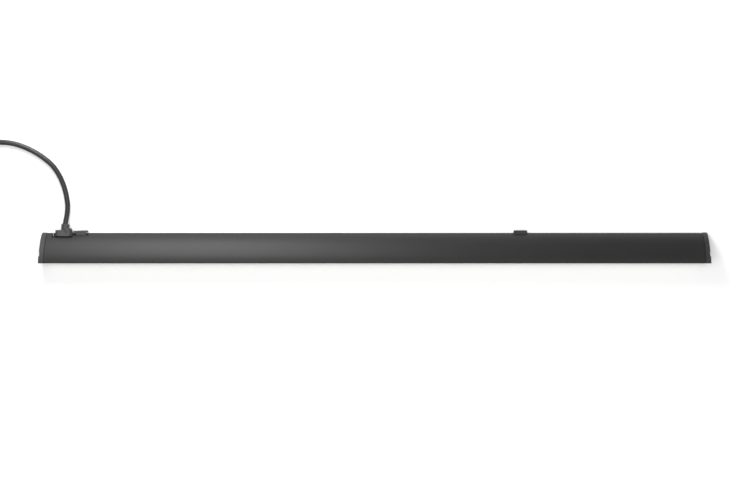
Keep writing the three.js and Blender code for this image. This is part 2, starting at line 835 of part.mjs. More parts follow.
const ends = [['left', -1], ['right', 1]];
for (const [name, side] of ends) {
  placeSolid(`end_cap_${name}`, endCap(side), blackPlastic());
  placeSolid(`end_gasket_${name}`, endGasket(side), blackRubber());
  placeSolid(`led_board_${name}`, ledBoard(side), boardWhite());
  [lowerBoss, upperBoss].forEach((centre, index) => {
    const screw = place(`cap_screw_${name}_${index + 1}`, screwGeometry(capScrewLength), steel());
    screw.rotation.y = side * Math.PI / 2;
    screw.position.set(side * (capHeadX() + gap), centre[0], centre[1]);
  });
}

boardScrewPlaces().forEach((x, index) => {
  const screw = place(`board_screw_${index + 1}`, screwGeometry(boardScrewLength), steel());
  screw.rotation.x = Math.PI / 2;
  screw.position.set(x, webFront - gap - boardThickness - gap, boardZ());
});

placeSolid('board_link', boardLink(), whitePlastic());
placeSolid('driver_tray', driverTray(), whitePlastic());
placeSolid('driver_cover', driverCover(), whitePlastic());
placeSolid('driver_board', driverBoard(), boardGreen());
placeSolid('terminal_block', terminalBlock(), whitePlastic());

const earthScrew = place('earth_screw', screwGeometry(floorThickness + gap - 0.1), brass());
earthScrew.position.set(earthPlace()[0], earthPlace()[1], tunnelFloor + gap);

placeSolid('cord_entry_block', entryBlock(), blackPlastic());
placeSolid('cord_gland', gland(), blackPlastic());

placeSolid('switch_case', switchCase(), blackPlastic());
placeSolid('switch_pin', keyPin(), steel());
const key = placeSolid('switch_key', switchKey(), blackPlastic());
key.rotation.z = radians(keyTilt);
key.position.set(keyX, lightEdge + keyPivotRel, 0);

placeSolid('mounting_clip', mountingClip(), blackPlastic());

// Wires inside the bar, each from piece to piece with a small gap at both ends.
const terminalFace = terminalX - terminalSize[0] / 2 - gap;
const terminalBack = terminalX + terminalSize[0] / 2 + gap;
const driverFace = driverX - driverLength / 2 - gap;
const driverBackFace = driverX + driverLength / 2 + gap;
const neckInner = lightEdge + notchRel + entryWall + 2 * gap - glandNeckLength - gap;
const neckHeight = neckMiddle();
const tunnelY = webBack + gap + terminalSize[1] / 2;
const driverMiddle = webBack + gap + driverWidth / 2;
const switchBack = lightEdge + keyPivotRel - hubDiameter / 2 - gap - switchBody[1] - 3 - gap;

const wires = {
  wire_live: [
    [glandX + wirePitch, neckInner, neckHeight],
    [glandX + wirePitch, neckInner - 4, neckHeight],
    [keyX - 12, switchBack - 4, 8.6],
    [keyX - 7, switchBack - 3, 7.8],
    [keyX - 5, switchBack - 0.2, 7.4],
  ],
  wire_switched: [
    [keyX + 5, switchBack - 0.2, 7.4],
    [keyX + 7, switchBack - 2.6, 7.6],
    [keyX + 13, tunnelY + 3.4, 8],
    [terminalFace, tunnelY + 3.4, 8.4],
  ],
  wire_neutral: [
    [glandX, neckInner, neckHeight],
    [glandX + 1, neckInner - 5, 9],
    [glandX + 8, tunnelY + 1.4, 12],
    [keyX, tunnelY, 12.6],
    [keyX + 12, tunnelY, 11],
    [terminalFace, tunnelY, 10],
  ],
  wire_earth: [
    [glandX - wirePitch, neckInner, neckHeight],
    [glandX - 2, neckInner - 7, 10],
    [glandX + 6, tunnelY - 2, 15.5],
    [terminalX - 20, tunnelY - 1, 16],
    [terminalX + 6, tunnelY, 15.5],
    [earthPlace()[0] - 1, earthPlace()[1] - 2, 12],
    [earthPlace()[0], earthPlace()[1], tunnelFloor + 2 * gap + screwHeadHeight + 0.2],
  ],
  wire_driver_live: [
    [terminalBack, tunnelY - 3, 8],
    [terminalBack + 6, tunnelY - 3.4, 8.4],
    [driverFace - 6, driverMiddle - 1.6, 10.6],
    [driverFace, driverMiddle - 1.6, 11],
  ],
  wire_driver_neutral: [
    [terminalBack, tunnelY + 3.6, 10],
    [terminalBack + 7, tunnelY + 5.4, 10.4],
    [driverFace - 6, driverMiddle + 2, 11],
    [driverFace, driverMiddle + 2, 11],
  ],
};
for (const [name, points] of Object.entries(wires)) {
  place(name, tube(points, wireDiameter, 8, 24), blackRubber());
}

[['led_lead_positive', 1], ['led_lead_negative', -1]].forEach(([name, side]) => {
  const z = boardZ() + side * (leadDiameter / 2 + gap / 2);
  const points = [
    [driverBackFace, driverMiddle + side * 1.2, 11 + side * 0.6],
    [leadX() - 6, driverMiddle - 1, z - 1.5],
    [leadX() - 0.5, webBack + 3.4, z],
    [leadX(), webBack + 0.5, z],
    [leadX(), webFront - 2, z],
  ];
  place(name, tube(points, leadDiameter, 8, 24), blackRubber());
});

// The mains cord: the stretch from the gland, the coil, the tail and the plug.
place('cord', tube(cordPoints, cordDiameter, 10, 26), blackRubber());

const coil = turned([
  [coilInner, 0],
  [coilOuter, 0],
  [coilOuter, coilHeight],
  [coilInner, coilHeight],
  [coilInner, 0],
], 40);
place('cord_coil', coil, blackRubber()).position.set(coilCentre[0], coilCentre[1], 0);

const plugAt = plugPlace();
const tailStart = coilCentre[1] - coilChord - gap;
const tailZ = 1.5 * cordDiameter;
place('cord_tail', tube([
  [plugAt.x, tailStart, tailZ],
  [plugAt.x, tailStart - tailLength * 0.4, (tailZ + plugBody[2] / 2) / 2],
  [plugAt.x, plugAt.bootEnd + gap, plugBody[2] / 2],
], cordDiameter, 10, 4), blackRubber());

placeSolid('plug_moulding', plugMoulding(), blackPlastic());
bladePlaces().forEach(([x, z], index) => {
  const y = [plugAt.face - bladeSize[1], plugAt.face + 6 - gap];
  const blade = block(around(x, bladeSize[2]), y, around(z, bladeSize[0]));
  const hole = bar('x', 3, [x - 3, x + 3], [plugAt.face - bladeSize[1] + 5, z], 16);
  placeSolid(`plug_blade_${index + 1}`, blade.subtract(hole), brass());
});
const [pinX, pinZ] = earthPinPlace();
const pinSpan = [plugAt.face - earthPinLength, plugAt.face + 6 - gap];
placeSolid('plug_earth_pin', bar('y', earthPinDiameter, pinSpan, [pinX, pinZ], 20), brass());

export default model;
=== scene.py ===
import math

import bmesh
import bpy
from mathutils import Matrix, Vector


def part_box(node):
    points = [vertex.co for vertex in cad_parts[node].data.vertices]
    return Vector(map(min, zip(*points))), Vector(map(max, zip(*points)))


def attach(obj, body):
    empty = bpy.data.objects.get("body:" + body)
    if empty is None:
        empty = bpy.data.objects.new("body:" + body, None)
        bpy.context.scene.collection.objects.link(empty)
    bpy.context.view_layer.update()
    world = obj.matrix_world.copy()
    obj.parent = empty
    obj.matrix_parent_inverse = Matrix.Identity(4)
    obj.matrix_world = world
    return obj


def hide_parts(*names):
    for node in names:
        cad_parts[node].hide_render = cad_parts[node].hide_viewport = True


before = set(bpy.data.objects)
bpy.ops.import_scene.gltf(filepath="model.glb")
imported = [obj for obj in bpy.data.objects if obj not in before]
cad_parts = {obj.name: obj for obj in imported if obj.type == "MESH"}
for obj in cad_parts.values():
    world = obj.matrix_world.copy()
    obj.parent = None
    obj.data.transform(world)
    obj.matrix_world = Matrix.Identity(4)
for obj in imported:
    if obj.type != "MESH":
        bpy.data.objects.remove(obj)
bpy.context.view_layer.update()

mm = 0.001
clear = 0.3 * mm  # the gap that neighbouring pieces keep

# the bar's own places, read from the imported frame
housingLow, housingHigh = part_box("housing")
lightEdge, barTop = housingLow.y, housingHigh.z
cordEdge = lightEdge + 41.7 * mm
webFront = lightEdge + 12 * mm

camera = {
    "lens": 85.0,
    "sensor": 36.0,
    "aboveBar": 2.366,
    "aside": 0.47 * mm,
    "fromLightEdge": 18.6 * mm,
}


def addCamera():
    spot = (camera["aside"], lightEdge + camera["fromLightEdge"], barTop + camera["aboveBar"])
    bpy.ops.object.camera_add(location=spot, rotation=(0, 0, 0))
    seen = bpy.context.object
    seen.name = "camera"
    seen.data.lens = camera["lens"]
    seen.data.sensor_width = camera["sensor"]
    seen.data.clip_start = 0.05
    bpy.context.scene.camera = seen
    print("camera stands", round(spot[2], 3), "m above the floor")


# Small helpers for working on one piece at a time

def clearSelection():
    if bpy.context.object and bpy.context.object.mode != "OBJECT":
        bpy.ops.object.mode_set(mode="OBJECT")
    bpy.ops.object.select_all(action="DESELECT")


def pickOnly(piece):
    clearSelection()
    piece.select_set(True)
    bpy.context.view_layer.objects.active = piece


def settle(piece):
    # moves the place, turn and size into the mesh
    pickOnly(piece)
    bpy.ops.object.transform_apply(location=True, rotation=True, scale=True)


def openEdit(piece, kind="FACE"):
    pickOnly(piece)
    bpy.ops.object.mode_set(mode="EDIT")
    bpy.ops.mesh.select_mode(type=kind)
    bpy.ops.mesh.select_all(action="DESELECT")


def closeEdit():
    bpy.ops.object.mode_set(mode="OBJECT")


def chooseFaces(piece, test):
    bpy.ops.mesh.select_all(action="DESELECT")
    shape = bmesh.from_edit_mesh(piece.data)
    for face in shape.faces:
        if test(face.calc_center_median(), face.normal):
            face.select_set(True)
    bmesh.update_edit_mesh(piece.data)


def chooseEdges(piece, test):
    bpy.ops.mesh.select_all(action="DESELECT")
    shape = bmesh.from_edit_mesh(piece.data)
    for edge in shape.edges:
        one, two = edge.verts[0].co, edge.verts[1].co
        if test((one + two) / 2, (two - one).normalized()):
            edge.select_set(True)
    bmesh.update_edit_mesh(piece.data)


def pull(x=0.0, y=0.0, z=0.0):
    bpy.ops.mesh.extrude_region_move(TRANSFORM_OT_translate={"value": (x, y, z)})


def block(name, low, high):
    low, high = Vector(low), Vector(high)
    clearSelection()
    bpy.ops.mesh.primitive_cube_add(size=1, location=(low + high) / 2)
    piece = bpy.context.object
    piece.name = name
    piece.scale = high - low
    settle(piece)
    return piece


def rod(name, diameter, start, end, sides=40):
    # a round bar from one point to another
    start, end = Vector(start), Vector(end)
    clearSelection()
    bpy.ops.mesh.primitive_cylinder_add(
        vertices=sides, radius=diameter / 2, depth=(end - start).length, location=(start + end) / 2,
        rotation=(end - start).to_track_quat("Z", "Y").to_euler(),
    )
    piece = bpy.context.object
    piece.name = name
    settle(piece)
    return piece


def combine(piece, tool, way):
    pickOnly(piece)
    change = piece.modifiers.new("change", "BOOLEAN")
    change.operation = way
    change.solver = "EXACT"
    change.object = tool
    bpy.ops.object.modifier_apply(modifier="change")
    bpy.data.objects.remove(tool)


def cutAway(piece, *tools):
    for tool in tools:
        combine(piece, tool, "DIFFERENCE")


def joinOn(piece, *tools):
    for tool in tools:
        combine(piece, tool, "UNION")


def softenEdges(piece, width, rounds=2, sharp=35):
    pickOnly(piece)
    edge = piece.modifiers.new("edge", "BEVEL")
    edge.width = width
    edge.segments = rounds
    edge.limit_method = "ANGLE"
    edge.angle_limit = math.radians(sharp)
    edge.use_clamp_overlap = True
    edge.harden_normals = False
    bpy.ops.object.modifier_apply(modifier="edge")


def mergeLoose(piece, flat=0.4):
    openEdit(piece)
    bpy.ops.mesh.select_all(action="SELECT")
    bpy.ops.mesh.remove_doubles(threshold=0.002 * mm)
    bpy.ops.mesh.dissolve_limited(angle_limit=math.radians(flat))
    closeEdit()


def copyOfNode(node, name):
    clearSelection()
    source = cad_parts[node]
    piece = bpy.data.objects.new(name, source.data.copy())
    bpy.context.scene.collection.objects.link(piece)
    pickOnly(piece)
    if piece.data.has_custom_normals:
        bpy.ops.mesh.customdata_custom_splitnormals_clear()
    mergeLoose(piece)
    return piece


def copyOf(piece, name):
    twin = bpy.data.objects.new(name, piece.data.copy())
    bpy.context.scene.collection.objects.link(twin)
    return twin


def finishPiece(piece, body, slot, finish, *nodes, smooth=32):
    if piece.type == "MESH":
        pickOnly(piece)
        bpy.ops.object.shade_smooth_by_angle(angle=math.radians(smooth))
        # broad faces lead the shading, so a small edge radius doesn't bend it
        even = piece.modifiers.new("even", "WEIGHTED_NORMAL")
        even.keep_sharp = True
        bpy.ops.object.modifier_apply(modifier="even")
    piece.data.materials.clear()
    piece.data.materials.append(finish)
    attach(piece, body)
    if nodes:
        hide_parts(*nodes)
    return piece


# Finishes. Patterns are laid in the object's own coordinates, in metres.

class Finish:
    def __init__(self, name, colour, roughness, **sockets):
        self.material = bpy.data.materials.new(name)
        self.material.use_nodes = True
        self.nodes = self.material.node_tree.nodes
        self.links = self.material.node_tree.links
        self.shader = next(n for n in self.nodes if n.type == "BSDF_PRINCIPLED")
        self.shader.inputs["Base Color"].default_value = (*colour, 1)
        self.shader.inputs["Roughness"].default_value = roughness
        for socket, value in sockets.items():
            self.shader.inputs[socket.replace("_", " ")].default_value = value
        self.place = self.nodes.new("ShaderNodeTexCoord")
        self.heights = []

    def mapped(self, stretch):
        mapping = self.nodes.new("ShaderNodeMapping")
        mapping.inputs["Scale"].default_value = stretch
        self.links.new(self.place.outputs["Object"], mapping.inputs["Vector"])
        return mapping.outputs["Vector"]

    def grain(self, scale, stretch=(1, 1, 1), detail=3.0, rough=0.55):
        noise = self.nodes.new("ShaderNodeTexNoise")
        noise.inputs["Scale"].default_value = scale
        noise.inputs["Detail"].default_value = detail
        noise.inputs["Roughness"].default_value = rough
        self.links.new(self.mapped(stretch), noise.inputs["Vector"])
        return noise.outputs["Fac"]

    def pebble(self, scale, stretch=(1, 1, 1)):
        cells = self.nodes.new("ShaderNodeTexVoronoi")
        cells.feature = "SMOOTH_F1"
        cells.inputs["Scale"].default_value = scale
        self.links.new(self.mapped(stretch), cells.inputs["Vector"])
        return cells.outputs["Distance"]

    def between(self, source, low, high, start=0.0, end=1.0):
        spread = self.nodes.new("ShaderNodeMapRange")
        spread.inputs["From Min"].default_value = start
        spread.inputs["From Max"].default_value = end
        spread.inputs["To Min"].default_value = low
        spread.inputs["To Max"].default_value = high
        self.links.new(source, spread.inputs["Value"])
        return spread.outputs["Result"]

    def tint(self, source, one, two, start=0.3, end=0.7):
        ramp = self.nodes.new("ShaderNodeValToRGB")
        ramp.color_ramp.elements[0].position = start
        ramp.color_ramp.elements[1].position = end
        ramp.color_ramp.elements[0].color = (*one, 1)
        ramp.color_ramp.elements[1].color = (*two, 1)
        self.links.new(source, ramp.inputs["Fac"])
        self.links.new(ramp.outputs["Color"], self.shader.inputs["Base Color"])
        return ramp

    def polish(self, source, low, high):
        self.links.new(self.between(source, low, high, 0.3, 0.7), self.shader.inputs["Roughness"])

    def relief(self, source, depth, strength=1.0):
        # each relief stands on the one before it
        bump = self.nodes.new("ShaderNodeBump")
        bump.inputs["Distance"].default_value = depth
        bump.inputs["Strength"].default_value = strength
        self.links.new(source, bump.inputs["Height"])
        if self.heights:
            self.links.new(self.heights[-1].outputs["Normal"], bump.inputs["Normal"])
        self.heights.append(bump)
        self.links.new(bump.outputs["Normal"], self.shader.inputs["Normal"])


def paintFinish():
    paint = Finish("satinBlackPaint", (0.01, 0.01, 0.01), 0.43, Specular_IOR_Level=0.3)
    paint.tint(paint.grain(60, (0.3, 1, 1)), (0.009, 0.009, 0.009), (0.011, 0.011, 0.0113))
    paint.polish(paint.grain(900, detail=2), 0.41, 0.47)
    paint.relief(paint.grain(1700, detail=2), 0.012 * mm, 0.8)
    paint.relief(paint.grain(1, (6, 900, 900), detail=2), 0.02 * mm, 0.35)  # faint lines of the extrusion
    return paint.material


def mouldedFinish(name, shade, roughness, size=2400, depth=0.015):
    moulded = Finish(name, (shade,) * 3, roughness, Specular_IOR_Level=0.4)
    moulded.tint(moulded.grain(260), (shade * 0.85,) * 3, (shade * 1.15,) * 3)
    moulded.polish(moulded.grain(700), roughness - 0.04, roughness + 0.05)
    moulded.relief(moulded.pebble(size), depth * mm, 0.7)
    moulded.relief(moulded.grain(380), 0.02 * mm, 0.3)
    return moulded.material


def opalFinish():
    opal = Finish(
        "opalLens", (0.66, 0.65, 0.62), 0.42,
        Subsurface_Weight=0.25, Subsurface_Radius=(0.003, 0.003, 0.0025), Subsurface_Scale=1.0,
        IOR=1.49,
    )
    opal.tint(opal.grain(35, (0.4, 1, 1)), (0.64, 0.63, 0.6), (0.68, 0.67, 0.64))
    opal.polish(opal.grain(500), 0.38, 0.46)
    opal.relief(opal.grain(1600, detail=2), 0.01 * mm, 0.6)
    opal.relief(opal.grain(1, (5, 700, 700)), 0.015 * mm, 0.3)
    return opal.material


def metalFinish(name, one, two, roughness, metallic=1.0):
    metal = Finish(name, one, roughness, Metallic=metallic)
    metal.tint(metal.grain(420), one, two)
    metal.polish(metal.grain(800), roughness - 0.06, roughness + 0.09)
    metal.relief(metal.grain(1, (2600, 420, 2600), detail=2), 0.01 * mm, 0.5)
    return metal.material


def insulationFinish(name, colour):
    jacket = Finish(name, colour, 0.45)
    jacket.tint(jacket.grain(300), tuple(c * 0.85 for c in colour), tuple(min(1, c * 1.12) for c in colour))
    jacket.polish(jacket.grain(900), 0.4, 0.5)
    jacket.relief(jacket.grain(1800), 0.01 * mm, 0.5)
    return jacket.material


def stripedFinish(name, ground, stripe):
    striped = Finish(name, ground, 0.45)
    waves = striped.nodes.new("ShaderNodeTexWave")
    waves.inputs["Scale"].default_value = 60
    waves.inputs["Distortion"].default_value = 0.6
    striped.links.new(striped.mapped((1, 3, 3)), waves.inputs["Vector"])
    striped.tint(waves.outputs["Fac"], ground, stripe, 0.55, 0.6)
    striped.relief(striped.grain(1500), 0.01 * mm, 0.5)
    return striped.material


def boardFinish():
    # white solder mask with copper lanes under it, and yellow phosphor on the LEDs that stand in front
    board = Finish("whiteBoard", (0.8, 0.8, 0.77), 0.4)
    lanes = board.nodes.new("ShaderNodeTexBrick")
    lanes.inputs["Scale"].default_value = 1
    lanes.inputs["Brick Width"].default_value = 18 * mm
    lanes.inputs["Row Height"].default_value = 4 * mm
    lanes.inputs["Mortar Size"].default_value = 0.25 * mm
    lanes.inputs["Color1"].default_value = (0.8, 0.8, 0.77, 1)
    lanes.inputs["Color2"].default_value = (0.77, 0.77, 0.735, 1)
    lanes.inputs["Mortar"].default_value = (0.6, 0.6, 0.55, 1)
    turned = board.mapped((1, 1, 1))
    turned.node.inputs["Rotation"].default_value = (math.pi / 2, 0, 0)
    board.links.new(turned, lanes.inputs["Vector"])
    split = board.nodes.new("ShaderNodeSeparateXYZ")
    board.links.new(board.place.outputs["Object"], split.inputs["Vector"])
    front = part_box("led_board_left")[0].y
    lit = board.between(split.outputs["Y"], 1.0, 0.0, front + 0.05 * mm, front + 0.2 * mm)
    mix = board.nodes.new("ShaderNodeMix")
    mix.data_type = "RGBA"
    colourIn = next(s for s in mix.inputs if s.name == "A" and s.type == "RGBA")
    colourOn = next(s for s in mix.inputs if s.name == "B" and s.type == "RGBA")
    colourOn.default_value = (0.85, 0.66, 0.12, 1)
    board.links.new(lit, mix.inputs["Factor"])
    board.links.new(lanes.outputs["Color"], colourIn)
    colourOut = next(s for s in mix.outputs if s.type == "RGBA")
    board.links.new(colourOut, board.shader.inputs["Base Color"])
    board.polish(board.grain(600), 0.36, 0.46)
    board.relief(lanes.outputs["Fac"], 0.03 * mm, 0.5)
    return board.material


finishes = {
    "paint": paintFinish(),
    "cap": mouldedFinish("blackCapPlastic", 0.018, 0.5),
    "nylon": mouldedFinish("blackNylon", 0.022, 0.42, 2000, 0.01),
    "gland": mouldedFinish("glandNylon", 0.036, 0.38, 2000, 0.01),
    "key": mouldedFinish("keyPlastic", 0.03, 0.4, 2200, 0.01),
    # the entry block's nylon is nearly black, far darker than the other black plastics: painted shade for the
    # shadow in the gland's notch around the head, over the block's own black
    "block": mouldedFinish("blockNylonPaintedShade", 0.003, 0.75, 2000, 0.01),
    "rubber": mouldedFinish("blackRubber", 0.016, 0.62, 1500, 0.02),
    "jacket": mouldedFinish("cordJacket", 0.014, 0.34, 1300, 0.012),
    "plug": mouldedFinish("plugRubber", 0.02, 0.55, 1700, 0.025),
    "strap": mouldedFinish("tieStrap", 0.03, 0.7, 1100, 0.06),
    "opal": opalFinish(),
    "whitePlastic": mouldedFinish("whitePlastic", 0.74, 0.48, 1900, 0.012),
    "blackSteel": metalFinish("blackOxide", (0.03, 0.03, 0.032), (0.05, 0.05, 0.052), 0.42, 0.7),
    "brightSteel": metalFinish("zincPlate", (0.55, 0.56, 0.58), (0.66, 0.67, 0.68), 0.32),
    "brass": metalFinish("platedBrass", (0.68, 0.5, 0.22), (0.78, 0.62, 0.33), 0.28),
    "clip": metalFinish("blackClip", (0.005, 0.005, 0.005), (0.009, 0.009, 0.009), 0.55, 0.2),
    "board": boardFinish(),
    "greenBoard": insulationFinish("greenBoard", (0.03, 0.16, 0.06)),
    "brown": insulationFinish("brownWire", (0.13, 0.05, 0.02)),
    "blue": insulationFinish("blueWire", (0.03, 0.1, 0.42)),
    "earth": stripedFinish("earthWire", (0.06, 0.3, 0.05), (0.75, 0.62, 0.04)),
    "red": insulationFinish("redWire", (0.5, 0.03, 0.02)),
    "black": insulationFinish("blackWire", (0.015, 0.015, 0.015)),
}
print("finishes", len(finishes))
addCamera()


# The cord comes out of the gland, lies on the surface and ends in a coil with its plug beside it.

coilLow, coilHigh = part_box("cord_coil")
plugLow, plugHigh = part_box("plug_moulding")
cord = {
    "diameter": 6.95 * mm,
    "length": 1.5,
    "inGland": (-419.78, 20.5, 7.4),
    "route": [
        (-417.6, 32.3, 7.4), (-416.6, 37.5, 7.2), (-415.5, 44.0, 6.5), (-414.9, 51.0, 5.2),
        (-415.0, 57.5, 4.1), (-415.8, 64.0, 3.6), (-417.9, 74.7, 3.5), (-421.0, 85.1, 3.5),
        (-425.2, 95.0, 3.5), (-430.7, 104.3, 3.5), (-437.6, 112.7, 3.5), (-445.9, 119.7, 3.5),
        (-454.8, 125.9, 3.5), (-464.3, 131.2, 3.5), (-474.1, 135.7, 3.5), (-484.4, 139.2, 3.5),
        (-495.0, 141.4, 3.5), (-505.8, 142.2, 3.5), (-519.0, 142.3, 3.5), (-533.0, 142.3, 3.5),
    ],
    "turns": 5.25,
    "pointsInTurn": 24,
    # where each turn changes its place in the coil, in degrees past the top:
    # start, end, columns out, layers up
    "changes": [(176, 276, -1, 0), (162, 226, 0, 1), (158, 222, 0, 1), (117, 211, 1, 0), (109, 173, 0, -1)],
    "tieAt": 45,
    "tieThickness": 0.75 * mm,
}


def smoothShare(value):
    value = min(1.0, max(0.0, value))
    return (1 - math.cos(math.pi * value)) / 2


def coilPlace(turnsMade):
    # column 0 is the outer one, and layer 0 lies on the surface
    whole = int(turnsMade)
    past = (turnsMade - whole) * 360
    column, layer = 0.0, 0.0
    for turn, (start, end, outwards, upwards) in enumerate(cord["changes"]):
        share = 1.0 if turn < whole else smoothShare((past - start) / (end - start)) if turn == whole else 0.0
        column += outwards * share
        layer += upwards * share
    middle = (coilLow + coilHigh) / 2
    outer = (coilHigh.x - coilLow.x) / 2 - cord["diameter"] / 2
    radius = outer + column * cord["diameter"]
    height = cord["diameter"] * (0.508 + layer)
    away = (past - cord["tieAt"]) / 24
    height += cord["tieThickness"] * math.exp(-away * away)  # the coil lies over its tie
    angle = math.radians(90 + turnsMade * 360)
    return Vector((middle.x + radius * math.cos(angle), middle.y + radius * math.sin(angle), height))


def cordPath():
    points = [Vector(cord["inGland"]) * mm] + [Vector(p) * mm for p in cord["route"]]
    steps = round(cord["turns"] * cord["pointsInTurn"])
    points += [coilPlace(i / cord["pointsInTurn"]) for i in range(steps)]
    leaves = coilPlace(cord["turns"] - 0.0001)
    boot = Vector(((plugLow.x + plugHigh.x) / 2, plugHigh.y, (plugLow.z + plugHigh.z) / 2))
    points.append(leaves)
    for share in (0.2, 0.45, 0.75):
        level = leaves.z + (boot.z - leaves.z) * smoothShare(share)
        points.append(Vector((boot.x, leaves.y + (boot.y - leaves.y) * share, level)))
    points += [boot, boot - Vector((0, 14 * mm, 0)), boot - Vector((0, 34 * mm, 0))]
    return points


def makeCord():
    line = bpy.data.curves.new("mainsCord", "CURVE")
    line.dimensions = "3D"
    line.bevel_depth = cord["diameter"] / 2
    line.bevel_resolution = 7
    line.resolution_u = 5
    line.use_fill_caps = True
    points = cordPath()
    spline = line.splines.new("BEZIER")
    spline.bezier_points.add(len(points) - 1)
    for knot, point in zip(spline.bezier_points, points):
        knot.co = point
        knot.handle_left_type = "AUTO"
        knot.handle_right_type = "AUTO"
    piece = bpy.data.objects.new("mains_cord", line)
    bpy.context.scene.collection.objects.link(piece)
    finishPiece(piece, "bar", "cord_jacket", finishes["jacket"], "cord", "cord_coil", "cord_tail")
    print("cord of", len(points), "points")
    return piece


def makeTie():
    # a strap round the six strands, with a loose end pressed on its outer side
    thick = cord["tieThickness"]
    strand = cord["diameter"]
    middle = (coilLow + coilHigh) / 2
    width = 6.5 * mm

    def loop(name, grow, reach, corner):
        tall = 3 * strand + 2 * grow
        piece = block(name, (-strand - grow, -reach / 2, 0), (strand + grow, reach / 2, tall))
        openEdit(piece, "EDGE")
        chooseEdges(piece, lambda spot, way: abs(way.y) > 0.9)
        bpy.ops.mesh.bevel(offset=corner, segments=7)
        closeEdit()
        return piece

    strap = loop("coil_tie", thick, width, strand / 2)
    inner = loop("inner", 0.02 * mm, width * 2, strand / 2 - thick)
    inner.location = (0, 0, thick)
    settle(inner)
    cutAway(strap, inner)
    tab = block(
        "tab",
        (strand + thick * 0.5, -width / 2 + 0.4 * mm, 6 * mm),
        (strand + thick * 1.9, width / 2 - 0.4 * mm, 17 * mm),
    )
    joinOn(strap, tab)
    softenEdges(strap, 0.2 * mm, 2, 40)
    outwards = math.radians(90 + cord["tieAt"])
    radius = (coilHigh.x - coilLow.x) / 2 - strand
    strap.rotation_euler = (0, 0, outwards)
    strap.location = (middle.x + radius * math.cos(outwards), middle.y + radius * math.sin(outwards), 0)
    settle(strap)
    return finishPiece(strap, "bar", "black_rubber", finishes["strap"])


# The plug: a moulded body with grip grooves and a ribbed boot, two blades and an earth pin.

plug = {
    "edge": 3.2 * mm,
    "shoulder": 8 * mm,
    "bootDiameter": 12 * mm,
    "bootEndDiameter": 9.4 * mm,
    "bootRibs": 6,
    "ribDepth": 0.8 * mm,
    "gripGrooves": 5,
    "gripPitch": 3.4 * mm,
    "bladeEdge": 0.35 * mm,
    "pinTip": 2 * mm,
}


def makePlug():
    bootLength = 22 * mm
    bodyTop = plugHigh.y - bootLength
    middle = (plugLow + plugHigh) / 2
    body = block("plug_body", plugLow, (plugHigh.x, bodyTop - plug["shoulder"], plugHigh.z))
    openEdit(body)
    chooseFaces(body, lambda spot, way: way.y > 0.9)
    for rise, share in ((0.45, 0.93), (0.3, 0.84), (0.25, 0.8)):  # the shoulder narrows towards the boot
        pull(y=plug["shoulder"] * rise)
        bpy.ops.transform.resize(value=(share, 1, share), center_override=(middle.x, bodyTop, middle.z))
    bpy.ops.mesh.select_mode(type="EDGE")
    chooseEdges(body, lambda spot, way: abs(way.y) > 0.4)
    bpy.ops.mesh.bevel(offset=plug["edge"], segments=5)
    closeEdit()
    softenEdges(body, 0.8 * mm, 3, 25)

    bootFoot = (middle.x, bodyTop - 4 * mm, middle.z)
    boot = rod("boot", plug["bootDiameter"], bootFoot, (middle.x, bodyTop, middle.z), 48)
    openEdit(boot)
    chooseFaces(boot, lambda spot, way: way.y > 0.9)
    ribs = plug["bootRibs"]
    wide = plug["bootDiameter"] / 2
    for i in range(ribs):
        step = bootLength / ribs
        narrow = wide - plug["ribDepth"]
        valley = (middle.x, bodyTop + i * step, middle.z)
        bpy.ops.transform.resize(value=(narrow / wide,) * 3, center_override=valley)
        pull(y=step * 0.4)
        taper = (plug["bootEndDiameter"] - plug["bootDiameter"]) / 2
        after = plug["bootDiameter"] / 2 + taper * (i + 1) / ribs
        bpy.ops.mesh.extrude_region_move(TRANSFORM_OT_translate={"value": (0, 0, 0)})
        crest = (middle.x, bodyTop + (i + 0.4) * step, middle.z)
        bpy.ops.transform.resize(value=(after / narrow,) * 3, center_override=crest)
        pull(y=step * 0.6)
        if i < ribs - 1:
            bpy.ops.mesh.extrude_region_move(TRANSFORM_OT_translate={"value": (0, 0, 0)})
        wide = after
    closeEdit()
    softenEdges(boot, 0.22 * mm, 2, 40)
    joinOn(body, boot)

    for side in (-1, 1):
        for i in range(plug["gripGrooves"]):
            y = plugLow.y + 9 * mm + i * plug["gripPitch"]
            x = plugLow.x if side < 0 else plugHigh.x
            groove = rod("groove", 1.9 * mm, (x, y, middle.z - 7 * mm), (x, y, middle.z + 7 * mm), 16)
            cutAway(body, groove)
    for node in ("plug_blade_1", "plug_blade_2", "plug_earth_pin"):
        low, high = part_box(node)
        if node == "plug_earth_pin":
            spot = (low + high) / 2
            slotEnd = (spot.x, plugLow.y + 6 * mm, spot.z)
            cutAway(body, rod("slot", high.x - low.x + 2 * clear, (spot.x, low.y, spot.z), slotEnd))
        else:
            slotEnd = (high.x + clear, plugLow.y + 6 * mm, high.z + clear)
            cutAway(body, block("slot", low - Vector((clear, 0, clear)), slotEnd))
    return finishPiece(body, "bar", "plug_black", finishes["plug"], "plug_moulding")


def makeBlade(node):
    low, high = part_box(node)
    blade = block(node + "_shaped", low, high)
    openEdit(blade, "EDGE")
    chooseEdges(blade, lambda spot, way: spot.y < low.y + 0.1 * mm and abs(way.x) > 0.9)
    bpy.ops.mesh.bevel(offset=1.5 * mm, segments=3)  # the tip's corners
    chooseEdges(blade, lambda spot, way: spot.y < low.y + 0.1 * mm and abs(way.z) > 0.9)
    bpy.ops.mesh.bevel(offset=plug["bladeEdge"], segments=2)
    closeEdit()
    spot = Vector(((low.x + high.x) / 2, low.y + 5 * mm, (low.z + high.z) / 2))
    cutAway(blade, rod("hole", 3 * mm, spot - Vector((3 * mm, 0, 0)), spot + Vector((3 * mm, 0, 0)), 32))
    softenEdges(blade, 0.12 * mm, 2, 40)
    return finishPiece(blade, "bar", "brass", finishes["brass"], node)


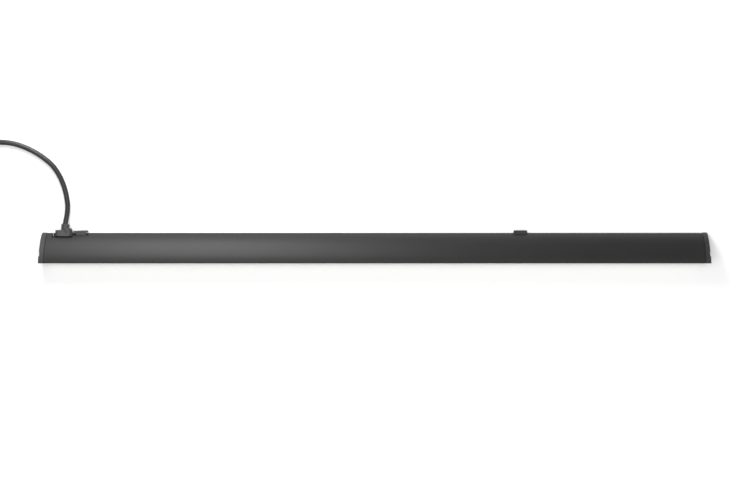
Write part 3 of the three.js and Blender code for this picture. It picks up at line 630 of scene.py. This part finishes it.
def makeEarthPin():
    low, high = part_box("plug_earth_pin")
    middle = (low + high) / 2
    start, end = (middle.x, low.y, middle.z), (middle.x, high.y, middle.z)
    pin = rod("plug_earth_pin_shaped", high.z - low.z, start, end, 40)
    openEdit(pin, "EDGE")
    chooseEdges(pin, lambda spot, way: spot.y < low.y + 0.1 * mm)
    bpy.ops.mesh.bevel(offset=plug["pinTip"], segments=6)
    closeEdit()
    return finishPiece(pin, "bar", "brass", finishes["brass"], "plug_earth_pin")


# The section's curved front, as shares of the width and the height.

section = {
    "width": cordEdge - lightEdge,
    "height": 32 * mm,
    "curve": ((1, 0), (0.927, 0.44), (0.39, 0.922), (0, 1)),
    "cuts": 36,
}


def frontAt(share, inset=0.0):
    # a point of the front and its outward direction, across the bar and up
    corners = [
        Vector((0, lightEdge + y * section["width"], z * section["height"])) for y, z in section["curve"]
    ]
    rest = 1 - share
    spot = (
        corners[0] * rest ** 3 + corners[1] * 3 * rest * rest * share
        + corners[2] * 3 * rest * share * share + corners[3] * share ** 3
    )
    along = (
        (corners[1] - corners[0]) * rest * rest + (corners[2] - corners[1]) * 2 * rest * share
        + (corners[3] - corners[2]) * share * share
    ).normalized()
    outward = Vector((0, along.z, -along.y))
    return spot - outward * inset, outward


def frontHeight(y, inset=0.0):
    low, high = 0.0, 1.0
    for _ in range(40):
        middle = (low + high) / 2
        if frontAt(middle, inset)[0].y > y:
            low = middle
        else:
            high = middle
    return frontAt(low, inset)[0].z


def carveFront(piece, inset=0.0):
    # files the block's corner down to the curve, one flat cut after another
    for i in range(section["cuts"]):
        spot, outward = frontAt((i + 0.5) / section["cuts"], inset)
        openEdit(piece)
        bpy.ops.mesh.select_all(action="SELECT")
        bpy.ops.mesh.bisect(plane_co=spot, plane_no=outward, use_fill=True, clear_outer=True, threshold=1e-7)
        closeEdit()


def makeHousing():
    # the extrusion keeps its section, and gets its small edge radii and smooth front
    body = copyOfNode("housing", "housing_shell")
    softenEdges(body, 0.28 * mm, 2, 38)
    print("housing", len(body.data.polygons), "faces")
    return finishPiece(body, "bar", "black_paint", finishes["paint"], "housing", smooth=28)


# End caps

cap = {
    "wall": 2 * mm,
    "pocket": 3.6 * mm,
    "rim": 0.9 * mm,
    "groove": (9.5 * mm, 15.2 * mm),
    "grooveDepth": 0.9 * mm,
    "step": 0.3 * mm,
    "post": 7.4 * mm,
    "screwHole": 3.2 * mm,
    "headHole": 6 * mm,
    "headSeat": 446.9 * mm,
    "edge": 0.14 * mm,
}


def bossPlaces():
    for node in ("cap_screw_right_1", "cap_screw_right_2"):
        low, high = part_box(node)
        yield (low.y + high.y) / 2, (low.z + high.z) / 2


def makeCaps():
    low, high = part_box("end_cap_right")
    body = block("end_cap_right_shaped", (low.x, lightEdge, 0), (high.x, cordEdge, section["height"]))
    carveFront(body)
    wall = cap["wall"]
    pocket = block(
        "pocket",
        (low.x - mm, lightEdge + wall, wall),
        (low.x + cap["pocket"], cordEdge - wall, section["height"]),
    )
    carveFront(pocket, wall)
    cutAway(body, pocket)
    for y, z in bossPlaces():
        joinOn(body, rod("post", cap["post"], (low.x, y, z), (high.x - 1.5 * mm, y, z)))
    near, far = (lightEdge + value for value in cap["groove"])
    groove = block("groove", (high.x - cap["grooveDepth"], near, -5 * mm), (high.x + 5 * mm, far, 40 * mm))
    step = block(
        "step",
        (high.x - cap["step"], far - 0.1 * mm, -5 * mm),
        (high.x + 5 * mm, cordEdge + 5 * mm, 40 * mm),
    )
    cutAway(body, groove, step)
    for y, z in bossPlaces():
        cutAway(
            body,
            rod("hole", cap["screwHole"], (low.x - mm, y, z), (high.x + mm, y, z), 32),
            rod("seat", cap["headHole"], (cap["headSeat"], y, z), (high.x + mm, y, z), 40),
        )

    def onOutline(spot, way):
        if spot.x < high.x - 1.05 * mm or abs(way.x) > 0.1:
            return False
        atSide = spot.y > cordEdge - 0.05 * mm or spot.y < lightEdge + 0.05 * mm
        atBack = spot.z < 0.05 * mm or spot.z > section["height"] - 0.05 * mm
        return atSide or atBack or spot.z > frontHeight(spot.y) - 0.1 * mm

    openEdit(body, "EDGE")
    chooseEdges(body, onOutline)
    bpy.ops.mesh.bevel(offset=cap["rim"], segments=5, clamp_overlap=True)
    closeEdit()
    softenEdges(body, cap["edge"], 2, 40)
    twin = copyOf(body, "end_cap_left_shaped")
    twin.scale = (-1, 1, 1)
    settle(twin)
    openEdit(twin)
    bpy.ops.mesh.select_all(action="SELECT")
    bpy.ops.mesh.normals_make_consistent(inside=False)
    closeEdit()
    finishPiece(body, "bar", "black_plastic", finishes["cap"], "end_cap_right", smooth=30)
    finishPiece(twin, "bar", "black_plastic", finishes["cap"], "end_cap_left", smooth=30)
    print("end caps", len(body.data.polygons), "faces each")


# The opal lens bows out of the light side and clips in on two legs.

lens = {
    "thickness": 1.5 * mm,
    "proud": 1.8 * mm,
    "steps": 20,
    "leg": 4.8 * mm,
    "legThickness": 1.2 * mm,
    "barb": 0.9 * mm,
    "beadEnd": 3.3 * mm,
    "lip": 1.8 * mm,
    "wall": 1.6 * mm,
}


def makeLens():
    low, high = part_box("lens")
    half = (high.z - low.z) / 2
    radius = (half * half + lens["proud"] ** 2) / (2 * lens["proud"])
    spread = math.asin(half / radius)
    centre = Vector((0, low.y + radius, low.z + half))
    clearSelection()
    bpy.ops.mesh.primitive_plane_add(size=1, location=(0, 0, 0))
    bow = bpy.context.object
    bow.name = "lens_bow"
    bow.scale = (high.x - low.x, lens["thickness"], 1)
    bow.location = centre + Vector((0, -(radius - lens["thickness"] / 2) * math.cos(spread),
                                    -(radius - lens["thickness"] / 2) * math.sin(spread)))
    bow.rotation_euler = (spread, 0, 0)
    settle(bow)
    openEdit(bow)
    bpy.ops.mesh.select_all(action="SELECT")
    bpy.ops.mesh.spin(steps=lens["steps"], angle=2 * spread, center=centre, axis=(1, 0, 0))
    bpy.ops.mesh.select_all(action="SELECT")
    bpy.ops.mesh.remove_doubles(threshold=0.001 * mm)
    bpy.ops.mesh.normals_make_consistent(inside=False)
    closeEdit()
    room = frontHeight(lightEdge + lens["leg"], lens["wall"])
    lowLeg = lens["lip"] + lens["barb"] + 2 * clear
    highLeg = room - lens["barb"] - clear
    inner, outer = lightEdge + lens["leg"], lightEdge + 0.4 * mm
    for base, way in ((lowLeg, 1), (highLeg, -1)):
        levels = sorted((base, base + way * lens["legThickness"]))
        leg = block("leg", (low.x, outer, levels[0]), (high.x, inner, levels[1]))
        openEdit(leg)
        bpy.ops.mesh.select_all(action="SELECT")
        bpy.ops.mesh.bisect(plane_co=(0, lightEdge + lens["beadEnd"], 0), plane_no=(0, 1, 0), threshold=1e-7)
        chooseFaces(leg, lambda spot, normal: normal.z * way < -0.9 and spot.y > lightEdge + lens["beadEnd"])
        pull(z=-way * lens["barb"])
        closeEdit()
        joinOn(bow, leg)
    softenEdges(bow, 0.2 * mm, 2, 40)
    print("lens", len(bow.data.polygons), "faces")
    return finishPiece(bow, "bar", "opal_lens", finishes["opal"], "lens", smooth=30)


# The gland: a chamfered head with a leaning stepped collar for the cord.

gland = {
    "middle": -419.3 * mm,
    "axis": 7.4 * mm,
    "head": (22.9 * mm, 8.4 * mm, 11.6 * mm),
    "chamfer": 3.4 * mm,
    "collar": 11.2 * mm,
    "collarAside": 1.6 * mm,
    "collarLength": 8 * mm,
    "collarLean": 3,
    "step": 13 * mm,
    "stepAside": 4.1 * mm,
    "stepLength": 2.4 * mm,
    "cordLean": 9,
    "neck": 13 * mm,
    "neckLength": 6 * mm,
    "neckLow": 4.7 * mm,
    "notch": 34.5 * mm,
    "frontWall": 1.6 * mm,
    "edge": 0.45 * mm,
}


def makeGland():
    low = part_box("cord_gland")[0]
    headNear = low.y + gland["neckLength"]
    headFar = headNear + gland["head"][1]
    wide, tall = gland["head"][0], gland["head"][2]
    head = block(
        "gland_shaped",
        (gland["middle"] - wide / 2, headNear, gland["axis"] - tall / 2),
        (gland["middle"] + wide / 2, headFar, gland["axis"] + tall / 2),
    )
    openEdit(head, "EDGE")
    chooseEdges(head, lambda spot, way: abs(way.y) > 0.9)
    bpy.ops.mesh.bevel(offset=gland["chamfer"], segments=1)
    closeEdit()
    softenEdges(head, gland["edge"], 3, 30)

    foot = Vector((gland["middle"], headFar, gland["axis"]))
    inHead = 3 * mm
    step = rod(
        "step", gland["step"],
        foot + Vector((gland["stepAside"], -inHead, 0)),
        foot + Vector((gland["stepAside"], gland["stepLength"], 0)), 64,
    )
    softenEdges(step, 0.7 * mm, 4, 30)
    lean = math.radians(gland["collarLean"])
    along = Vector((math.sin(lean), math.cos(lean), 0))
    base = foot + Vector((gland["collarAside"], 0, 0))
    mouthStart = base + along * (gland["collarLength"] - 1.2 * mm)
    collar = rod("collar", gland["collar"], base - along * inHead, mouthStart, 64)
    openEdit(collar)
    chooseFaces(collar, lambda spot, way: way.dot(along) > 0.95)
    mouth = base + along * gland["collarLength"]
    pull(*(along * 1.2 * mm))
    bpy.ops.transform.resize(value=(0.95, 0.95, 0.95), center_override=mouth)  # the mouth narrows a little
    closeEdit()
    softenEdges(collar, 0.35 * mm, 3, 30)
    joinOn(head, step, collar)
    lean = math.radians(gland["cordLean"])
    along = Vector((math.sin(lean), math.cos(lean), 0))
    boreEnd = foot + along * (gland["collarLength"] + mm)
    bore = rod("bore", cord["diameter"] + 2 * clear, foot - along * 4 * mm, boreEnd, 48)
    cutAway(head, bore)
    neckTop = frontHeight(lightEdge + gland["notch"], gland["frontWall"]) - clear
    neck = block(
        "neck",
        (gland["middle"] - gland["neck"] / 2, low.y, gland["neckLow"]),
        (gland["middle"] + gland["neck"] / 2, headNear + 0.5 * mm, neckTop),
    )
    joinOn(head, neck)
    return finishPiece(head, "bar", "black_plastic", finishes["gland"], "cord_gland", smooth=30)


def makeEntryBlock():
    body = copyOfNode("cord_entry_block", "entry_block_shaped")
    softenEdges(body, 0.16 * mm, 2, 38)
    # the nearly black finish paints the notch's shadow onto the block's own black plastic
    return finishPiece(body, "bar", "black_plastic", finishes["block"], "cord_entry_block")


# The rocker key: a bar for the finger on a flat stem with a hub.

key = {
    "middle": -396.3 * mm,
    "length": 21.1 * mm,
    "thickness": 3.1 * mm,
    "height": 3.4 * mm,
    "slope": 1.6 * mm,
    "pivot": 33 * mm,
    "reach": 11.2 * mm,
    "tilt": 2.5,
    "stem": 13 * mm,
    "stemLevels": (5.4 * mm, 7.0 * mm),
    "low": 4.0 * mm,
    "hub": 5 * mm,
    "hole": 2.6 * mm,
    "edge": 0.35 * mm,
}


def makeKey():
    half = key["length"] / 2
    near = key["reach"] - key["thickness"]
    top = key["low"] + key["height"]
    finger = block("switch_key_shaped", (-half, near, key["low"]), (half, key["reach"], top))
    openEdit(finger)
    for end, slope in ((half, key["slope"]), (-half, 0.6 * mm)):
        bpy.ops.mesh.select_all(action="SELECT")
        normal = Vector((math.copysign(key["thickness"], end), slope, 0))
        bpy.ops.mesh.bisect(
            plane_co=(end, near, 0), plane_no=normal, use_fill=True, clear_outer=True, threshold=1e-7
        )
    closeEdit()
    softenEdges(finger, key["edge"], 3, 20)
    for x in (-6.4 * mm, -5.2 * mm, -4 * mm):  # three fine lines mark the end that switches on
        foot, head = (x, key["reach"], key["low"] - mm), (x, key["reach"], key["low"] + 8 * mm)
        cutAway(finger, rod("line", 0.5 * mm, foot, head, 12))
    low, high = key["stemLevels"]
    stem = block("stem", (-key["stem"] / 2, 0, low), (key["stem"] / 2, near + 0.4 * mm, high))
    hub = rod("hub", key["hub"], (0, 0, low), (0, 0, high), 40)
    joinOn(stem, hub)
    joinOn(finger, stem)
    cutAway(finger, rod("hole", key["hole"], (0, 0, low - mm), (0, 0, high + mm), 32))
    finger.rotation_euler = (0, 0, math.radians(key["tilt"]))
    finger.location = (key["middle"], lightEdge + key["pivot"], 0)
    settle(finger)
    return finishPiece(finger, "switch_key", "black_plastic", finishes["key"], "switch_key", smooth=30)


# The mounting clip: a flat base with a hook under the land and a lip that snaps over the cord edge.

clip = {
    "base": 1.9 * mm,
    "lip": 2.3 * mm,
    "hookHeight": 0.6 * mm,
    "hookUnder": 0.6 * mm,
    "noseLevel": 5.1 * mm,
    "noseHeight": 1.0 * mm,
    "hole": 4.2 * mm,
    "sink": 8.4 * mm,
    "edge": 0.22 * mm,
}


def makeClip():
    low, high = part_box("mounting_clip")
    top = low.z + clip["base"]
    inner = high.y - clip["lip"]
    body = block("mounting_clip_shaped", (low.x, webFront + clear, low.z), (high.x, high.y, top))
    openEdit(body)
    bpy.ops.mesh.select_all(action="SELECT")
    bpy.ops.mesh.bisect(plane_co=(0, inner, 0), plane_no=(0, 1, 0), threshold=1e-7)
    chooseFaces(body, lambda spot, way: way.z > 0.9 and spot.y > inner)
    pull(z=high.z - top)
    closeEdit()
    hookTop = top - clip["hookUnder"]
    hookEnd = (high.x, webFront + clear + 0.2 * mm, hookTop)
    hook = block("hook", (low.x, low.y, hookTop - clip["hookHeight"]), hookEnd)
    noseLow = clip["noseLevel"] - clip["noseHeight"] / 2
    noseTip = frontTipAt(clip["noseLevel"]) - 0.3 * mm
    nose = block("nose", (low.x, noseTip, noseLow), (high.x, inner + 0.2 * mm, noseLow + clip["noseHeight"]))
    joinOn(body, hook, nose)
    spot = Vector(((low.x + high.x) / 2, (webFront + cordEdge) / 2, 0))
    hole = rod("hole", clip["hole"], (spot.x, spot.y, low.z - mm), (spot.x, spot.y, top + mm), 40)
    clearSelection()
    bpy.ops.mesh.primitive_cone_add(
        vertices=40, radius1=clip["hole"] / 2, radius2=clip["sink"] / 2, depth=clip["base"] * 0.8,
        location=(spot.x, spot.y, top - clip["base"] * 0.4 + 0.01 * mm),
    )
    sink = bpy.context.object
    settle(sink)
    cutAway(body, hole, sink)
    softenEdges(body, clip["edge"], 2, 40)
    return finishPiece(body, "mounting_clip", "black_clip", finishes["clip"], "mounting_clip")


def frontTipAt(height):
    low, high = 0.0, 1.0
    for _ in range(40):
        middle = (low + high) / 2
        if frontAt(middle)[0].z < height:
            low = middle
        else:
            high = middle
    return frontAt(low)[0].y


# Screws: one pan head with a hexagon socket, shaped once for each length and copied.

screw = {
    "head": 5.4 * mm,
    "headHeight": 1.9 * mm,
    "shank": 2.6 * mm,
    "core": 2.1 * mm,
    "pitch": 1.0 * mm,
    "socket": 2.5 * mm,
    "socketDepth": 1.1 * mm,
}


def shapeScrew(name, length):
    head = rod(name, screw["head"], (0, 0, 0), (0, 0, screw["headHeight"]), 40)
    openEdit(head, "EDGE")
    chooseEdges(head, lambda spot, way: spot.z > screw["headHeight"] - 0.01 * mm)
    bpy.ops.mesh.bevel(offset=0.75 * mm, segments=4)
    bpy.ops.mesh.select_mode(type="FACE")
    chooseFaces(head, lambda spot, way: way.z < -0.9)
    bpy.ops.mesh.inset(thickness=(screw["head"] - screw["shank"]) / 2)
    threads = max(1, int((length - 1.2 * mm) / screw["pitch"]))
    plain = length - threads * screw["pitch"] - 0.6 * mm
    pull(z=-max(plain, 0.1 * mm))
    level = -max(plain, 0.1 * mm)
    inward, outward = screw["core"] / screw["shank"], screw["shank"] / screw["core"]
    for _ in range(threads):  # rolled ridges
        for share, drop in ((inward, 0.3), (1, 0.2), (outward, 0.3), (1, 0.2)):
            pull(z=-screw["pitch"] * drop)
            level -= screw["pitch"] * drop
            if share != 1:
                bpy.ops.transform.resize(value=(share, share, 1), center_override=(0, 0, level))
    pull(z=-(length + level))
    bpy.ops.transform.resize(value=(0.55, 0.55, 1), center_override=(0, 0, -length))
    closeEdit()
    floor = (0, 0, screw["headHeight"] - screw["socketDepth"])
    cutAway(head, rod("socket", screw["socket"], floor, (0, 0, 5 * mm), 6))
    return head


def placeScrews():
    shapes = {}
    sides = [f"{side}_{i}" for side in ("left", "right") for i in (1, 2)]
    rows = [(f"cap_screw_{place}", "x", "black_steel", "blackSteel") for place in sides]
    rows += [(f"board_screw_{i}", "y", "bright_steel", "brightSteel") for i in (1, 2, 3, 4)]
    rows += [("earth_screw", "z", "brass", "brass")]
    for node, axis, slot, finish in rows:
        low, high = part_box(node)
        middle = (low + high) / 2
        size = high - low
        length = max(size) - screw["headHeight"] if axis != "z" else size.z - screw["headHeight"]
        if slot not in shapes:
            shapes[slot] = shapeScrew(node + "_shaped", length)
            piece = shapes[slot]
            shapes[slot] = copyOf(piece, "spare_" + slot)
        else:
            piece = copyOf(shapes[slot], node + "_shaped")
        if axis == "x":
            out = 1 if middle.x > 0 else -1
            piece.rotation_euler = (0, out * math.pi / 2, 0)
            piece.location = ((high.x if out > 0 else low.x) - out * screw["headHeight"], middle.y, middle.z)
        elif axis == "y":
            piece.rotation_euler = (math.pi / 2, 0, 0)
            piece.location = (middle.x, low.y + screw["headHeight"], middle.z)
        else:
            piece.location = (middle.x, middle.y, high.z - screw["headHeight"])
        settle(piece)
        finishPiece(piece, "bar", slot, finishes[finish], node)
    for spare in shapes.values():
        bpy.data.objects.remove(spare)
    print("screws", len(rows))


# Pieces that keep the frame's own shape get their finish here.

ownShape = {
    "end_gasket_left": ("black_rubber", "rubber"),
    "end_gasket_right": ("black_rubber", "rubber"),
    "led_board_left": ("white_board", "board"),
    "led_board_right": ("white_board", "board"),
    "board_link": ("white_plastic", "whitePlastic"),
    "driver_tray": ("white_plastic", "whitePlastic"),
    "driver_cover": ("white_plastic", "whitePlastic"),
    "driver_board": ("green_board", "greenBoard"),
    "terminal_block": ("white_plastic", "whitePlastic"),
    "switch_case": ("black_plastic", "nylon"),
    "switch_pin": ("bright_steel", "brightSteel"),
    "wire_live": ("brown_wire", "brown"),
    "wire_switched": ("brown_wire", "brown"),
    "wire_driver_live": ("brown_wire", "brown"),
    "wire_neutral": ("blue_wire", "blue"),
    "wire_driver_neutral": ("blue_wire", "blue"),
    "wire_earth": ("green_wire", "earth"),
    "led_lead_positive": ("red_wire", "red"),
    "led_lead_negative": ("black_wire", "black"),
}


def dressNodes():
    for node, (slot, finish) in ownShape.items():
        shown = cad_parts[node]
        shown.data.materials.clear()
        shown.data.materials.append(finishes[finish])
    print("nodes with their own shape", len(ownShape))


# Floor and lights

studio = {
    "floor": 0.9,
    "world": 0.55,
    "overhead": {"size": (2.6, 1.6), "spot": (0, -0.3, 1.9), "aim": (0, 0, 0), "power": 28},
    "side": {"size": (0.42, 0.8), "spot": (-0.33, 0.8, 0.46), "aim": (-0.24, 0, 0), "power": 10},
}


def addLight(name, size, spot, aim, power):
    clearSelection()
    bpy.ops.object.light_add(type="AREA", location=spot)
    lamp = bpy.context.object
    lamp.name = name
    lamp.data.shape = "RECTANGLE"
    lamp.data.size, lamp.data.size_y = size
    lamp.data.energy = power
    lamp.rotation_euler = (Vector(aim) - Vector(spot)).to_track_quat("-Z", "Y").to_euler()


def buildStudio():
    clearSelection()
    bpy.ops.mesh.primitive_plane_add(size=9, location=(0, 0, -0.05 * mm))
    floor = bpy.context.object
    floor.name = "floor"
    paper = Finish("paleFloor", (studio["floor"],) * 3, 0.75, Specular_IOR_Level=0.2)
    paper.relief(paper.grain(300), 0.05 * mm, 0.2)
    floor.data.materials.append(paper.material)
    world = bpy.data.worlds.new("studio")
    bpy.context.scene.world = world
    world.use_nodes = True
    sky = next(n for n in world.node_tree.nodes if n.type == "BACKGROUND")
    sky.inputs["Color"].default_value = (1, 1, 1, 1)
    sky.inputs["Strength"].default_value = studio["world"]
    for name in ("overhead", "side"):
        addLight(name, **studio[name])
    view = bpy.context.scene.view_settings
    view.view_transform = "Standard"
    view.look = "None"
    view.exposure = 0
    view.gamma = 1
    print("studio is set")


buildStudio()
mainsCord = makeCord()
tie = makeTie()
plugBody = makePlug()
onCord = [plugBody, makeBlade("plug_blade_1"), makeBlade("plug_blade_2"), makeEarthPin(), tie]
glandPiece = makeGland()
print("cord, plug and gland are made")
makeHousing()
makeCaps()
makeLens()
makeEntryBlock()
makeKey()
makeClip()
placeScrews()
dressNodes()
